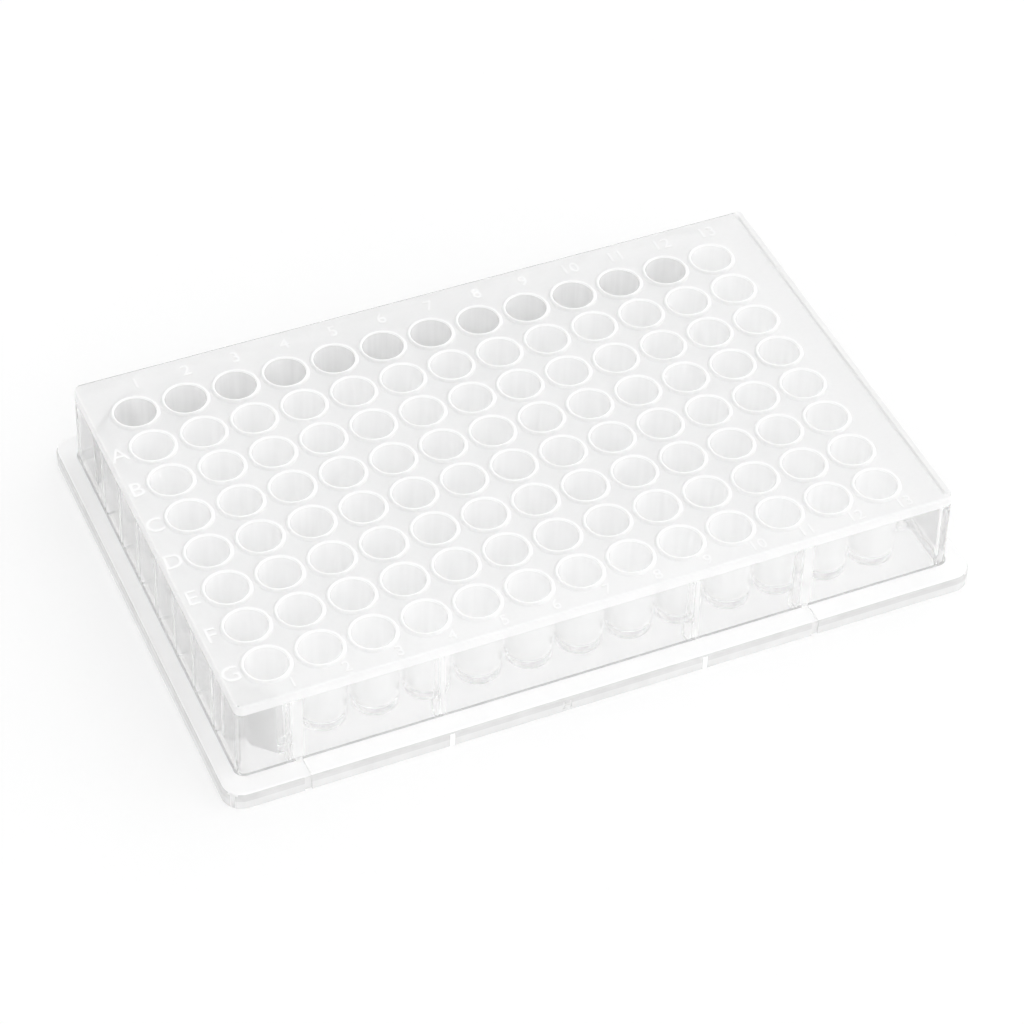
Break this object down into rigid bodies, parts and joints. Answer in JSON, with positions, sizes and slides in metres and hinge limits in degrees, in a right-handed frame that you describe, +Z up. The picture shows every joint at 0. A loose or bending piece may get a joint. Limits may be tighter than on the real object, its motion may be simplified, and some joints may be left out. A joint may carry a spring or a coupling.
{
  "type": "well plate",
  "caption": "Clear skirted laboratory well plate: one moulding whose deck holds a grid of flat-bottomed wells with raised rims.",
  "frame": {"origin": "bottom centre of the footprint, on the surface that the skirt stands on", "axes": "+X along a row from column 1 to the last column, +Y from the last row back to row A, +Z up out of the wells"},
  "size_m": [0.1278, 0.0854, 0.018],
  "materials": {
    "clear_polystyrene": "clear moulded polystyrene, slightly milky, with polished walls"
  },
  "bodies": {
    "root": {"well_plate": "clear_polystyrene"}
  },
  "joints": []
}
